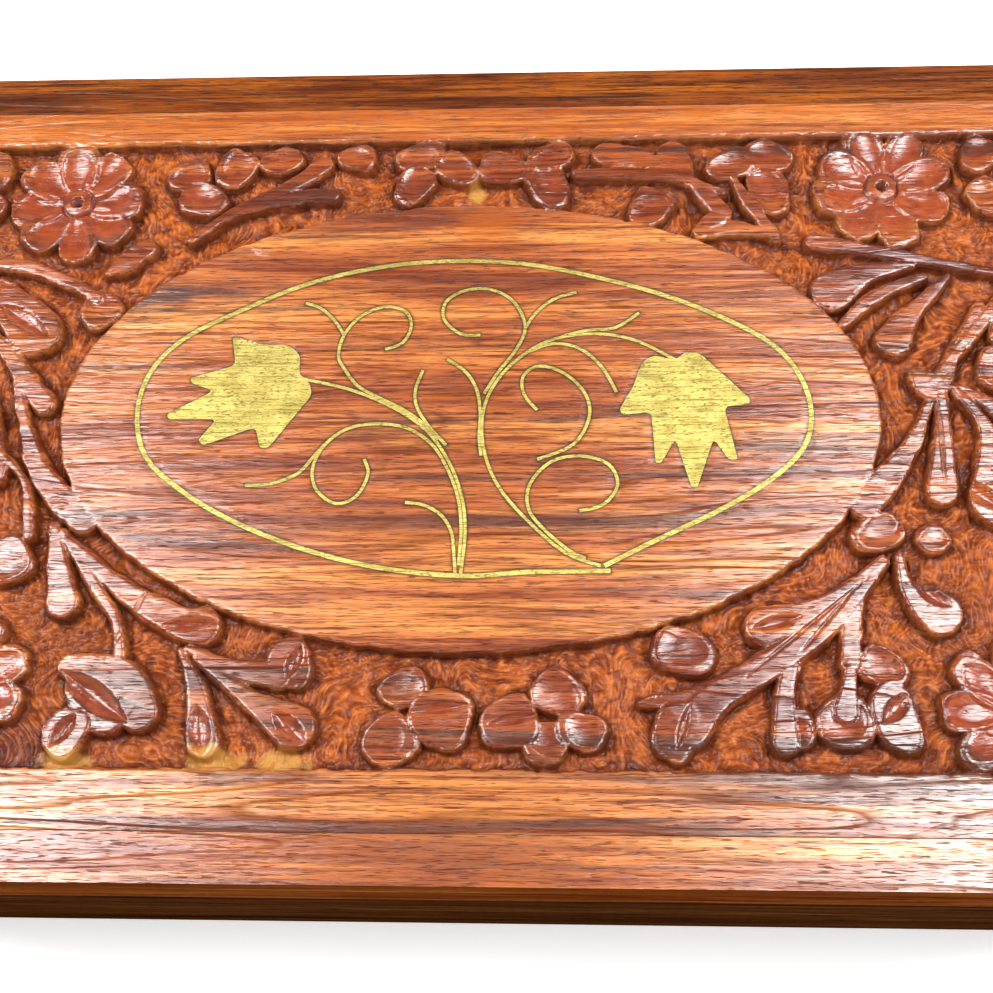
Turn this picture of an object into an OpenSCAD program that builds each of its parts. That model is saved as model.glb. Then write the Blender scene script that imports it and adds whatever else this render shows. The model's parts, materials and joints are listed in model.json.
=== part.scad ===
// Hinged wooden jewelry box. The lid is a carved panel set flush between four rails,
// with brass wire and leaf inlay in a smooth oval island.
// Origin at the centre of the underside, +X along the length, -Y is the front, +Z up.

/* [Box] */
// Outside length, left to right
box_l = 228; // [200:1:260]
// Outside depth, front to back
box_w = 152; // [140:1:180]
// Outside height with the lid closed
box_h = 57; // [50:0.5:90]
// Thickness of the walls and rails
wall = 8; // [7:0.5:10]

/* [Lid] */
// Height of the lid's rails
lid_h = 18; // [16:0.5:24]
// Thickness of the carved panel
panel_t = 7; // [6:0.5:9]
// Plain margin between the rails and the carving, at the front
front_margin = 10; // [8:0.5:12]
// Plain margin between the rails and the carving, at the back and sides
margin = 7; // [6:0.5:9]
// Depth of the carved ground below the panel's top
carve_depth = 2.6; // [1.5:0.1:3.5]

/* [Island and inlay] */
// Length of the smooth oval island
island_l = 143; // [130:1:146]
// Width of the smooth oval island
island_w = 85; // [70:1:88]
// Width of the brass strip round the oval
strip_w = 0.8; // [0.6:0.05:1.2]
// Width of the brass vine wires
wire_w = 0.55; // [0.45:0.05:0.7]
// Depth of the brass and of its grooves
inlay_d = 0.9; // [0.6:0.1:1.5]

/* [Base and lining] */
// Thickness of the bottom board
board_t = 4; // [3:0.5:6]
// Thickness of the felt under the base
felt_t = 1; // [0.8:0.1:1.5]
// Thickness of the velvet pads
pad_t = 2; // [1:0.5:3]
// Thickness of the velvet on the inside of the walls
side_pad_t = 1.5; // [1:0.5:2]

/* [Hinges] */
// Length of each butt hinge
hinge_l = 25; // [20:1:30]
// Distance of each hinge from the middle of the box
hinge_x = 68; // [50:1:80]
// Thickness of the hinge leaves
leaf_t = 1; // [0.8:0.1:1.2]
// Outside radius of the knuckles
knuckle_r = 1.6; // [1.5:0.05:1.8]
// Radius of the hinge pin
pin_r = 0.7; // [0.6:0.05:0.8]
// Distance of the pin's axis from the rear face
pin_in = 2; // [1.9:0.1:2.5]
// Angle at which the bevelled rear edges meet and stop the lid
open_angle = 100; // [90:1:110]

/* [Hidden] */
$fn = 48;
eps = 0.02;

// Where the lid meets the base
lid_gap = 0.3;
seam_z = box_h - lid_h;
lid_z = seam_z + lid_gap / 2;
base_top = seam_z - lid_gap / 2;
in_l = box_l - 2 * wall;
in_w = box_w - 2 * wall;
panel_z = box_h - panel_t;

// Carved field and island
field_x = in_l / 2 - margin;
field_back = in_w / 2 - margin;
field_front = -in_w / 2 + front_margin;
corner_cut = 2;
island_pos = [-1.3, 4];
curve_steps = 4;
fit_gap = 0.03;

// Hinges
pin_y = box_w / 2 - pin_in;
bevel_angle = open_angle / 2;
leaf_front = 5.4;
knuckles = 5;
knuckle_gap = 0.12;
knuckle_l = hinge_l / knuckles;
barrel_clearance = 0.3;
running_gap = 0.06;
screw_x = 7.5;
screw_y = pin_y - 3.4;
screw_r = 0.8;
screw_head_r = 1.6;
screw_head_t = 0.9;
screw_l = 9;
slot_w = 0.4;
slot_d = 0.4;

// Colours
rosewood = [0.55, 0.24, 0.12];
dark_wood = [0.33, 0.17, 0.08];
brass = [0.82, 0.7, 0.36];
velvet = [0.45, 0.05, 0.1];
felt = [0.16, 0.22, 0.16];

// ---- curves -------------------------------------------------------------------------------

// A smooth curve through hand-placed points
function spline_at(a, b, c, d, t) =
    0.5 * (2 * b + (c - a) * t + (2 * a - 5 * b + 4 * c - d) * t * t + (3 * b - a - 3 * c + d) * t * t * t);

function smooth(p) = let (n = len(p)) concat(
    [for (i = [0 : n - 2]) for (s = [0 : curve_steps - 1])
        spline_at(p[max(i - 1, 0)], p[i], p[i + 1], p[min(i + 2, n - 1)], s / curve_steps)],
    [p[n - 1]]);

// One corner of an outline as a short curve, reaching a little way along the sides before and after it
function corner_points(before, corner, after) = let (
        reach = min(corner_reach, 0.4 * norm(before - corner), 0.4 * norm(after - corner)),
        start = corner + reach * unit(before - corner),
        end = corner + reach * unit(after - corner)
    ) [for (s = [0 : corner_steps]) let (t = s / corner_steps)
        (1 - t) * (1 - t) * start + 2 * t * (1 - t) * corner + t * t * end];

function rounded(p) = let (n = len(p))
    [for (i = [0 : n - 1]) each corner_points(p[(i + n - 1) % n], p[i], p[(i + 1) % n])];

function unit(v) = v / norm(v);

function normal_at(p, i) =
    let (d = unit(p[min(i + 1, len(p) - 1)] - p[max(i - 1, 0)])) [-d[1], d[0]];

// The curve moved sideways by a distance, to the left of its direction of travel
function beside(p, distance) = [for (i = [0 : len(p) - 1]) p[i] + distance * normal_at(p, i)];

function reversed(p) = [for (i = [len(p) - 1 : -1 : 0]) p[i]];

// A flat ribbon of even width along a curve
module ribbon(p, width) {
    polygon(concat(beside(p, width / 2), reversed(beside(p, -width / 2))));
}

function ellipse_points(l, w, count) =
    [for (i = [0 : count - 1]) [l / 2 * cos(i * 360 / count), w / 2 * sin(i * 360 / count)]];

// ---- inlay design -------------------------------------------------------------------------

left_stem = [[-31, 11.4], [-22, 9.2], [-14, 5.6], [-8, 1.2], [-4, -4.6], [-1.6, -11], [-0.8, -17.5],
    [-1.4, -25.2]];
right_stem = [[22, -23.6], [16, -21.2], [9.5, -15.3], [4.4, -8.8], [1.9, -1.6], [2, 5.8], [5, 12], [10.4, 17],
    [16, 19.3], [23, 19.7], [29, 18.2], [35.5, 14.5]];
left_stem_curve = smooth(left_stem);
right_stem_curve = smooth(right_stem);

left_root = [[-11.2, -12.2], [-8, -12.7], [-5, -14.5], [-3.2, -17.4], [-2.7, -20.5], [-2.3, -25]];
left_upper_scroll = [[-15.9, 17], [-12.8, 18.3], [-11.4, 21.6], [-12.6, 24.6], [-16.5, 25.5], [-20.6, 23.6],
    [-23.4, 19.9], [-24.2, 15.8], [-23, 13.2], [-20.4, 9.8], [-16.5, 7.5], [-12.2, 5.2], [-8.6, 2.5],
    [-6, -0.6]];
left_upper_tendril = [[-30.7, 26.4], [-28, 25.4], [-25.4, 23], [-23.4, 19.9]];
left_spur = [[-9, 12.8], [-10.2, 9], [-9.8, 5.6], [-7.6, 2], [-4.5, -1.6]];
left_lower_scroll = [[-18.6, -4.2], [-17.8, -7], [-19.6, -11], [-23, -12.4], [-26.5, -10], [-27.5, -6],
    [-25.8, -1.7], [-22, 1.5], [-17, 2.5], [-11.5, 1.7], [-7.2, -1.2], [-4.6, -5.1], [-2.4, -10.5],
    [-1.5, -16.5], [-1.8, -23.5]];
left_tail = [[-39, -9], [-34.5, -8.7], [-30, -6.8], [-27.4, -3.6], [-25.6, -1.3]];

right_tip = [[15.4, 19.3], [20, 20.5], [25, 21], [29.2, 23.9]];
right_branch = [[9.8, 16.4], [14, 17.9], [18.6, 16.9], [22.4, 13.4], [25, 8.4]];
right_top_scroll = [[1, 19.7], [-2.6, 20], [-5.6, 23], [-5.2, 26.6], [-1.6, 28.8], [3, 28.8], [7, 26.2],
    [9, 21.2], [7.4, 16.8], [4.4, 12.5], [1.9, 8.2]];
right_top_tendril = [[18.1, 28.2], [14, 26.8], [10.8, 24], [9.1, 21.2]];
right_spur = [[-4.8, 15], [-1.4, 12.4], [0.6, 8.9], [1.3, 4.5], [1.2, 0], [1.6, -3.6]];
right_middle_scroll = [[11.2, 5], [8.9, 8], [8.7, 11.5], [11.5, 13.5], [16, 12], [19.6, 8], [20.2, 3.4],
    [17.4, -1.6], [11.3, -4.3]];
right_lower_scroll = [[18.5, -13.8], [22.6, -12.6], [25, -9], [23.4, -5.2], [18.6, -3.7], [13.6, -4.8],
    [10.1, -8.8], [9.8, -13.2], [12.2, -16.8], [16.6, -20.8], [19.5, -22.3]];

// Five-lobed leaves with straight cuts, drawn round from the notch where the stalk joins
corner_reach = 1.2;
corner_steps = 3;
left_leaf = rounded([[-31, 12], [-31, 16], [-33.5, 18], [-38, 18],
    [-42.5, 19.5], [-43.5, 19.5], [-42.5, 14],
    [-50.5, 11.5], [-50, 10.5], [-46, 9],
    [-54, 4.5], [-53.5, 3.5], [-45, 3.5],
    [-48, -0.5], [-47, -1.5], [-38, 2],
    [-37, -2], [-35.5, -2], [-31, 4.5], [-28.5, 8], [-29, 10.5]]);
right_leaf = rounded([[35.5, 14.5], [37, 16], [39.5, 16],
    [48, 7], [48, 6], [43.5, 5.5],
    [45.5, -4.5], [44, -4.5], [41.5, -0.5],
    [38.5, -9.5], [37.5, -9.5], [35, -0.5],
    [32.5, -5], [31.5, -5], [31, 4.5],
    [26, 4], [25.5, 5], [28, 9.5], [29.5, 14], [31.5, 15.5]]);

// The strip runs round the oval from the corner at the lower right, where its two ends meet
oval_path = [[22.6, -23.6], [32, -18.7], [41.3, -14.1], [50.3, -8.6], [56.6, -2.5], [58.4, 4], [57, 11],
    [52.5, 17.4], [44, 22.8], [33.5, 27.5], [21, 31.4], [8, 34.2], [-6, 34.8], [-19, 33.4], [-31, 30.2],
    [-42, 25.2], [-52, 19.6], [-57.6, 13], [-59.3, 5], [-57, -3.5], [-50, -10], [-41, -15.4], [-29.5, -20.2],
    [-16, -23.8],
    [-1.5, -25.4], [10, -24.7], [23.6, -24.5]];

oval_joint = [22.8, -24.1];
joint_cut = 4;

// The strip's two ends are cut to meet along a line
module oval_ring(grow) {
    difference() {
        ribbon(smooth(oval_path), strip_w + 2 * grow);
        translate([oval_joint[0] - joint_cut / 2, oval_joint[1] - fit_gap / 2]) square([joint_cut, fit_gap]);
    }
}

// A wire is a strip on edge. It is cut to butt against the pieces that it grows from.
module wire(p) {
    translate([0, 0, box_h - inlay_d]) linear_extrude(inlay_d) difference() {
        ribbon(smooth(p), wire_w);
        children();
    }
}

module stems(grow) {
    ribbon(left_stem_curve, wire_w + 2 * grow);
    ribbon(right_stem_curve, wire_w + 2 * grow);
}

module left_stem_wire() {
    color(brass) wire(left_stem) {
        oval_ring(fit_gap);
        polygon(left_leaf);
    }
}

module right_stem_wire() {
    color(brass) wire(right_stem) {
        oval_ring(fit_gap);
        polygon(right_leaf);
    }
}

module left_root_wire() {
    color(brass) wire(left_root) {
        stems(fit_gap);
        oval_ring(fit_gap);
        ribbon(smooth(left_lower_scroll), wire_w + 2 * fit_gap);
    }
}

module left_upper_scroll_wire() { color(brass) wire(left_upper_scroll) stems(fit_gap); }

module left_upper_tendril_wire() {
    color(brass) wire(left_upper_tendril) ribbon(smooth(left_upper_scroll), wire_w + 2 * fit_gap);
}

module left_spur_wire() {
    color(brass) wire(left_spur) {
        stems(fit_gap);
        ribbon(smooth(left_upper_scroll), wire_w + 2 * fit_gap);
    }
}

module left_lower_scroll_wire() {
    color(brass) wire(left_lower_scroll) {
        stems(fit_gap);
        oval_ring(fit_gap);
    }
}

module left_tail_wire() {
    color(brass) wire(left_tail) ribbon(smooth(left_lower_scroll), wire_w + 2 * fit_gap);
}

module right_tip_wire() { color(brass) wire(right_tip) stems(fit_gap); }

module right_branch_wire() { color(brass) wire(right_branch) stems(fit_gap); }

module right_top_scroll_wire() { color(brass) wire(right_top_scroll) stems(fit_gap); }

module right_top_tendril_wire() {
    color(brass) wire(right_top_tendril) ribbon(smooth(right_top_scroll), wire_w + 2 * fit_gap);
}

module right_spur_wire() {
    color(brass) wire(right_spur) {
        stems(fit_gap);
        ribbon(smooth(right_top_scroll), wire_w + 2 * fit_gap);
    }
}

module right_middle_scroll_wire() {
    color(brass) wire(right_middle_scroll) ribbon(smooth(right_lower_scroll), wire_w + 2 * fit_gap);
}

module right_lower_scroll_wire() { color(brass) wire(right_lower_scroll) stems(fit_gap); }

module leaf_plate(p) {
    color(brass) translate([0, 0, box_h - inlay_d]) linear_extrude(inlay_d) polygon(p);
}

module oval_strip() {
    color(brass) translate([0, 0, box_h - inlay_d]) linear_extrude(inlay_d) oval_ring(0);
}

wire_paths = [left_stem, left_root, left_upper_scroll, left_upper_tendril, left_spur, left_lower_scroll,
    left_tail, right_stem, right_tip, right_branch, right_top_scroll, right_top_tendril, right_spur,
    right_middle_scroll, right_lower_scroll];

module inlay_pockets() {
    for (p = wire_paths) ribbon(smooth(p), wire_w);
    polygon(left_leaf);
    polygon(right_leaf);
    oval_ring(0);
}
// ---- carved motifs, left standing while the ground round them is cut away ------------------

// [centre, radius, turn]
flowers = [[[-76, 49], 13, 0], [[74, 50], 13, 10], [[-85, -43], 12, 20], [[87.5, -47], 12, 5]];
petals = 8;
heart_size = 0.42;
petal_place = 0.66;
petal_size = 0.25;

// [middle, length, width, angle]
leaves = [
    [[-57, 53], 9, 7, 80], [[-49, 50], 10, 7, 130], [[-39, 57], 8, 4, 20], [[-23, 57.5], 7, 4.5, 0],
    [[-11, 57.5], 8, 5.5, 20], [[-4, 55], 8, 6, 150], [[-11, 51.5], 9, 6.5, 70],
    [[6, 56], 9, 6, 160], [[13.5, 57], 8, 5.5, 30], [[13, 51], 9, 6.5, 110], [[29, 57], 9, 5, 10],
    [[31, 46], 9, 8, 30], [[46, 56], 9, 6, 10], [[54, 57], 8, 6, 160], [[54, 49], 9, 6.5, 100],
    [[62, 36], 10, 5, 60], [[91, 56], 8, 6, 60], [[92, 48], 8, 6, 120],
    [[-68, 25], 10, 8, 60], [[-79, 18], 12, 7, 50], [[-80, 7], 10, 9, 20], [[-74, -8], 22, 7, 120],
    [[-90, 20], 12, 7, 100], [[-91, 2], 13, 8, 70], [[-88, -18], 12, 8, 120],
    [[73, 19], 12, 7, 120], [[79, 11], 10, 6, 60], [[89, 8], 10, 8, 60], [[85, -13], 11, 8, 30],
    [[92, 24], 12, 7, 80], [[92, -24], 11, 8, 100], [[76, -30], 12, 8, 120], [[67, -13], 12, 7, 50],
    [[-69, -26], 12, 5, 95], [[-46, -33.5], 12, 9, 20], [[-60, -46], 17, 12, 130], [[-68, -51], 10, 8, 60],
    [[-29, -40], 11, 8, 60], [[-43, -50], 13, 7, 100], [[-30, -50], 12, 8, 130],
    [[-11, -45], 10, 8, 40], [[-12, -53], 11, 8, 100], [[-4, -50], 11, 9, 160],
    [[8, -50], 11, 9, 20], [[15, -46], 9, 8, 60], [[13, -53], 11, 8, 80], [[19, -51.5], 9, 7, 150],
    [[30, -40], 11, 8, 150], [[31, -53], 11, 8, 50], [[48, -35], 12, 8, 160], [[50, -52], 9, 8, 80],
    [[61, -50], 12, 9, 100], [[70, -50], 12, 8, 70], [[68, -42], 11, 8, 130]
];

// [start, middle, end]
stems_carved = [
    [[-60, 41], [-45, 46], [-30, 53]], [[18, 53], [32, 52], [46, 57]], [[40, 53], [47, 48], [52, 42]],
    [[-78, 36], [-70, 30], [-66, 22]], [[80, 9], [88, 20], [96, 30]], [[80, 9], [84, -5], [82, -20]],
    [[80, 9], [72, 4], [64, -14]], [[82, 40], [88, 41], [96, 38]], [[-69, -19], [-64, -30], [-59, -38]],
    [[-48, -38], [-46, -46], [-43, -54]], [[-48, -38], [-38, -40], [-28, -48]],
    [[70, -19], [56, -37], [34, -47]], [[66, -22], [62, -32], [60, -42]], [[54, -38], [51, -44], [49, -50]],
    [[-97, 34], [-88, 22], [-82, 10]], [[-82, 10], [-80, -8], [-70, -19]], [[-82, 10], [-90, -4], [-94, -20]]
];
stem_width = 2.4;
leaf_sides = 14;
island_sides = 72;

module carved_flower(f) {
    translate(f[0]) rotate(f[2]) {
        circle(r = f[1] * heart_size);
        for (i = [0 : petals - 1]) rotate(i * 360 / petals)
            translate([f[1] * petal_place, 0]) circle(r = f[1] * petal_size);
    }
}

module carved_leaf(l) {
    translate(l[0]) rotate(l[3]) polygon(ellipse_points(l[1], l[2], leaf_sides));
}

module carved_motifs() {
    for (f = flowers) carved_flower(f);
    for (l = leaves) carved_leaf(l);
    for (s = stems_carved) ribbon(smooth(s), stem_width);
}

module clipped_field() {
    difference() {
        translate([-field_x, field_front]) square([2 * field_x, field_back - field_front]);
        for (x = [-field_x, field_x]) for (y = [field_front, field_back])
            translate([x, y]) rotate(45) square(corner_cut, center = true);
    }
}

module carved_ground() {
    difference() {
        clipped_field();
        translate(island_pos) polygon(ellipse_points(island_l, island_w, island_sides));
        carved_motifs();
    }
}

// ---- lid ----------------------------------------------------------------------------------

module lid_panel() {
    color(rosewood) difference() {
        translate([-in_l / 2, -in_w / 2, panel_z]) cube([in_l, in_w, panel_t]);
        translate([0, 0, box_h - carve_depth]) linear_extrude(carve_depth + 1) carved_ground();
        translate([0, 0, box_h - inlay_d]) linear_extrude(inlay_d + 1) inlay_pockets();
    }
}

// A rail or wall that runs the full length, its outside face at y
module long_board(y, z, h) {
    translate([-box_l / 2, y > 0 ? y - wall : y, z]) cube([box_l, wall, h]);
}

module short_board(x, z, h) {
    translate([x > 0 ? x - wall : x, -in_w / 2, z]) cube([wall, in_w, h]);
}

// The wedge planed off a rear edge, from the pin's axis outwards; up = 1 for the base, -1 for the lid
module rear_bevel(up) {
    reach = 2 * pin_in;
    drop = reach * tan(bevel_angle);
    edge_z = seam_z - up * lid_gap / 2;
    translate([-box_l / 2 - 1, pin_y, edge_z]) rotate([90, 0, 90]) linear_extrude(box_l + 2)
        polygon([[0, 0], [reach, -up * drop], [reach, up], [0, up]]);
}

// Room for the barrels and leaves; up = 1 for the base, -1 for the lid
module hinge_mortises(up) {
    room = knuckle_r + barrel_clearance;
    leaf_z = up > 0 ? base_top - leaf_t : lid_z - 1;
    for (sx = [-1, 1]) translate([sx * hinge_x, 0, 0]) {
        translate([-hinge_l / 2, pin_y, seam_z]) rotate([0, 90, 0]) cylinder(r = room, h = hinge_l);
        translate([-hinge_l / 2, pin_y, seam_z - room]) cube([hinge_l, pin_in + 1, 2 * room]);
        translate([-hinge_l / 2, pin_y - leaf_front, leaf_z]) cube([hinge_l, leaf_front, leaf_t + 1]);
        for (x = [-1, 1]) screw_hole(x * screw_x, up);
    }
}

module screw_hole(x, up) {
    depth = screw_l + 0.5;
    translate([x, screw_y, up > 0 ? base_top - depth : lid_z]) cylinder(r = screw_r + fit_gap, h = depth);
}

module lid_front_rail() { color(rosewood) long_board(-box_w / 2, lid_z, box_h - lid_z); }

module lid_back_rail() {
    color(dark_wood) difference() {
        long_board(box_w / 2, lid_z, box_h - lid_z);
        rear_bevel(-1);
        hinge_mortises(-1);
    }
}

module lid_left_rail() { color(rosewood) short_board(-box_l / 2, lid_z, box_h - lid_z); }

module lid_right_rail() { color(rosewood) short_board(box_l / 2, lid_z, box_h - lid_z); }

module lid_lining() {
    color(velvet) translate([0, 0, panel_z - pad_t / 2])
        cube([in_l - 2 * eps, in_w - 2 * eps, pad_t], center = true);
}

// ---- base ---------------------------------------------------------------------------------

module front_wall() { color(dark_wood) long_board(-box_w / 2, felt_t, base_top - felt_t); }

module back_wall() {
    color(dark_wood) difference() {
        long_board(box_w / 2, felt_t, base_top - felt_t);
        rear_bevel(1);
        hinge_mortises(1);
    }
}

module left_wall() { color(dark_wood) short_board(-box_l / 2, felt_t, base_top - felt_t); }

module right_wall() { color(dark_wood) short_board(box_l / 2, felt_t, base_top - felt_t); }

module bottom_board() {
    color(dark_wood) translate([-in_l / 2, -in_w / 2, felt_t]) cube([in_l, in_w, board_t]);
}

felt_inset = 2;

module base_felt() {
    color(felt) translate([-box_l / 2 + felt_inset, -box_w / 2 + felt_inset, 0])
        cube([box_l - 2 * felt_inset, box_w - 2 * felt_inset, felt_t]);
}

floor_z = felt_t + board_t;
side_lining_z = floor_z + pad_t;
side_lining_h = base_top - side_lining_z - 2;

module floor_lining() {
    color(velvet) translate([-in_l / 2, -in_w / 2, floor_z]) cube([in_l, in_w, pad_t]);
}

module front_lining() {
    color(velvet) translate([-in_l / 2, -in_w / 2, side_lining_z]) cube([in_l, side_pad_t, side_lining_h]);
}

module back_lining() {
    color(velvet) translate([-in_l / 2, in_w / 2 - side_pad_t, side_lining_z])
        cube([in_l, side_pad_t, side_lining_h]);
}

module end_lining(x) {
    color(velvet) translate([x, -in_w / 2 + side_pad_t, side_lining_z])
        cube([side_pad_t, in_w - 2 * side_pad_t, side_lining_h]);
}

module left_lining() { end_lining(-in_l / 2); }

module right_lining() { end_lining(in_l / 2 - side_pad_t); }

// ---- hinges -------------------------------------------------------------------------------

module countersink(up) {
    low_r = up > 0 ? screw_r : screw_head_r;
    high_r = up > 0 ? screw_head_r : screw_r;
    translate([0, screw_y, up > 0 ? base_top - screw_head_t : lid_z])
        cylinder(r1 = low_r, r2 = high_r, h = screw_head_t);
}

// A leaf with its knuckles. The base leaf (up = 1) has the outer and middle knuckles.
module hinge_leaf(side, up) {
    first = up > 0 ? 0 : 1;
    bore_r = up > 0 ? pin_r + fit_gap : pin_r + running_gap;
    plate_z = up > 0 ? base_top - leaf_t : lid_z;
    free_r = knuckle_r + barrel_clearance / 2;
    color(brass) translate([side * hinge_x, 0, 0]) difference() {
        union() {
            difference() {
                translate([-hinge_l / 2 + eps, pin_y - leaf_front + eps, plate_z])
                    cube([hinge_l - 2 * eps, leaf_front - eps, leaf_t]);
                for (k = [1 - first : 2 : knuckles - 1])
                    translate([-hinge_l / 2 + k * knuckle_l - knuckle_gap, pin_y, seam_z]) rotate([0, 90, 0])
                        cylinder(r = free_r, h = knuckle_l + 2 * knuckle_gap);
            }
            for (k = [first : 2 : knuckles - 1])
                translate([-hinge_l / 2 + k * knuckle_l + knuckle_gap, pin_y, seam_z]) rotate([0, 90, 0])
                    cylinder(r = knuckle_r, h = knuckle_l - 2 * knuckle_gap);
        }
        translate([-hinge_l / 2 - 1, pin_y, seam_z]) rotate([0, 90, 0]) cylinder(r = bore_r, h = hinge_l + 2);
        for (x = [-1, 1]) translate([x * screw_x, 0, 0]) {
            countersink(up);
            translate([0, screw_y, plate_z - 1]) cylinder(r = screw_r + fit_gap, h = leaf_t + 2);
        }
    }
}

module hinge_pin(side) {
    color(brass) translate([side * hinge_x - hinge_l / 2 + knuckle_gap, pin_y, seam_z]) rotate([0, 90, 0])
        cylinder(r = pin_r, h = hinge_l - 2 * knuckle_gap);
}

// A countersunk, slotted wood screw; up = 1 in the base, -1 in the lid
module hinge_screw(up) {
    head_z = up > 0 ? base_top - slot_d : lid_z;
    shank_z = up > 0 ? base_top - screw_l : lid_z + screw_head_t;
    difference() {
        union() {
            countersink(up);
            translate([0, screw_y, shank_z]) cylinder(r = screw_r, h = screw_l - screw_head_t);
        }
        translate([-screw_head_r, screw_y - slot_w / 2, up > 0 ? head_z : head_z - 1])
            cube([2 * screw_head_r, slot_w, slot_d + 1]);
    }
}

module hinge_screws(up) {
    color(brass) for (side = [-1, 1]) for (x = [-1, 1])
        translate([side * hinge_x + x * screw_x, 0, 0]) hinge_screw(up);
}

lid_panel();
lid_front_rail();
lid_back_rail();
lid_left_rail();
lid_right_rail();
lid_lining();
oval_strip();
leaf_plate(left_leaf);  // left_brass_leaf
leaf_plate(right_leaf);  // right_brass_leaf
left_stem_wire();
left_root_wire();
left_upper_scroll_wire();
left_upper_tendril_wire();
left_spur_wire();
left_lower_scroll_wire();
left_tail_wire();
right_stem_wire();
right_tip_wire();
right_branch_wire();
right_top_scroll_wire();
right_top_tendril_wire();
right_spur_wire();
right_middle_scroll_wire();
right_lower_scroll_wire();
hinge_leaf(-1, -1);  // left_hinge_lid_leaf
hinge_leaf(1, -1);  // right_hinge_lid_leaf
hinge_screws(-1);  // lid_hinge_screws
front_wall();
back_wall();
left_wall();
right_wall();
bottom_board();
base_felt();
floor_lining();
front_lining();
back_lining();
left_lining();
right_lining();
hinge_leaf(-1, 1);  // left_hinge_base_leaf
hinge_leaf(1, 1);  // right_hinge_base_leaf
hinge_pin(-1);  // left_hinge_pin
hinge_pin(1);  // right_hinge_pin
hinge_screws(1);  // base_hinge_screws
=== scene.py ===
import json
import math

import bmesh
import bpy
import numpy as np
from mathutils import Matrix, Vector
from mathutils.bvhtree import BVHTree


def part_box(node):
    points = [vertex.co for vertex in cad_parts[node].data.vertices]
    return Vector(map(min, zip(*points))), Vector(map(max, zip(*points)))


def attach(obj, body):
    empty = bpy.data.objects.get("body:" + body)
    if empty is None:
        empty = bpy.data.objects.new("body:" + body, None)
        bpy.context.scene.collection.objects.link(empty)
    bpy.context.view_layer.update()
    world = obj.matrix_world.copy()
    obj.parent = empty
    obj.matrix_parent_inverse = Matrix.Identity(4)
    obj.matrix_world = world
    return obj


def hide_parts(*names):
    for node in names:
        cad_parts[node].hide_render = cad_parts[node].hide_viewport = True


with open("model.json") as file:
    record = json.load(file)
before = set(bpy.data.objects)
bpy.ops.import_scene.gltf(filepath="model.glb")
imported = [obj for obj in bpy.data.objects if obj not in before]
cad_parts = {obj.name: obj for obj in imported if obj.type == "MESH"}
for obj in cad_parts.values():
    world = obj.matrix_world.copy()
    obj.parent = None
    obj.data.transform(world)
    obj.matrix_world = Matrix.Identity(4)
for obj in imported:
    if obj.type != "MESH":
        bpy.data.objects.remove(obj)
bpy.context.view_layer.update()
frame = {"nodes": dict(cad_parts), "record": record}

# The looks of the carved jewelry box. Lengths in the carving sections are millimetres in the box's own frame.
MM = 0.001
NODES = frame["nodes"]
SEED = 7

PANEL_LOW, PANEL_HIGH = (np.array(corner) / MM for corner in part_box("lid_panel"))
TOP_Z = PANEL_HIGH[2]
GRID_STEP = 0.25
JOINT_LINE = 0.06

# Camera: pitch, yaw and roll in degrees, place in millimetres
CAMERA_ANGLES = (68.35, -7.93, -7.48)
CAMERA_PLACE = (17.4, -104.5, 294.4)
CAMERA_LENS = 54.4

# Studio, in metres
FLOOR_INNER = 1.5
FLOOR_RADIUS = 3.0
FLOOR_SIDES = 64
BEND_RADIUS = 1.5
BACKDROP_HEIGHT = 2.2

# Carved field and island
GROUND_DEPTH = 2.3
WALL_RUN = 0.55
FIELD_X = 99.0
FIELD_FRONT, FIELD_BACK = -58.0, 61.0
ISLAND_CENTRE = (-1.3, 4.0)
ISLAND_HALF = (71.5, 42.5)
FAR = 99.0
NO_TOP = -9.0
PETALS = 8
CROWN = 0.16
CURVE_STEPS = 6
LEAF_POCKET = 0.3
LEAF_RIM = 0.3

# Marks of age on the panel: x, y and size of the resin spots, then places of the varnish drip and the stains
RESIN_SPOTS = ((-65.5, -56.6, 3.6), (-41, -56, 4.6), (-30, -56.4, 4.6), (-0.5, 50.4, 1.5))
DRIP = (-38.6, 39)
SMOKE_PLACE = (-53, 27.8)
WARM_PLACE = (2, 42)
WINE_CORNER = (-84, -56)

# Cushions, in millimetres
CUSHION_STEP = 1.2
CUSHION_ROUND = 2.0


# ---- camera and light ---------------------------------------------------------------------

def make_camera():
    """Looks steeply down at the lid, a little from the right and turned to the left."""
    pitch, yaw, roll = (math.radians(a) for a in CAMERA_ANGLES)
    forward = Vector((math.sin(yaw) * math.cos(pitch), math.cos(yaw) * math.cos(pitch), -math.sin(pitch)))
    level_right = forward.cross(Vector((0, 0, 1))).normalized()
    level_up = level_right.cross(forward)
    right = level_right * math.cos(roll) + level_up * math.sin(roll)
    up = level_up * math.cos(roll) - level_right * math.sin(roll)
    data = bpy.data.cameras.new("camera")
    data.sensor_width = 36
    data.lens = CAMERA_LENS
    data.clip_start = 0.01
    camera = bpy.data.objects.new("camera", data)
    bpy.context.scene.collection.objects.link(camera)
    rotation = Matrix((right, up, -forward)).transposed().to_4x4()
    camera.matrix_world = Matrix.Translation(Vector(CAMERA_PLACE) * MM) @ rotation
    bpy.context.scene.camera = camera


def softbox(name, centre, size, radiance, aim=(0, 0, 0.05)):
    """A rectangular lamp whose face has the given radiance."""
    data = bpy.data.lights.new(name, "AREA")
    data.shape = "RECTANGLE"
    data.size, data.size_y = size
    data.energy = math.pi * size[0] * size[1] * radiance
    lamp = bpy.data.objects.new(name, data)
    lamp.location = centre
    lamp.rotation_euler = (Vector(aim) - Vector(centre)).to_track_quat("-Z", "Y").to_euler()
    bpy.context.scene.collection.objects.link(lamp)


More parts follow.
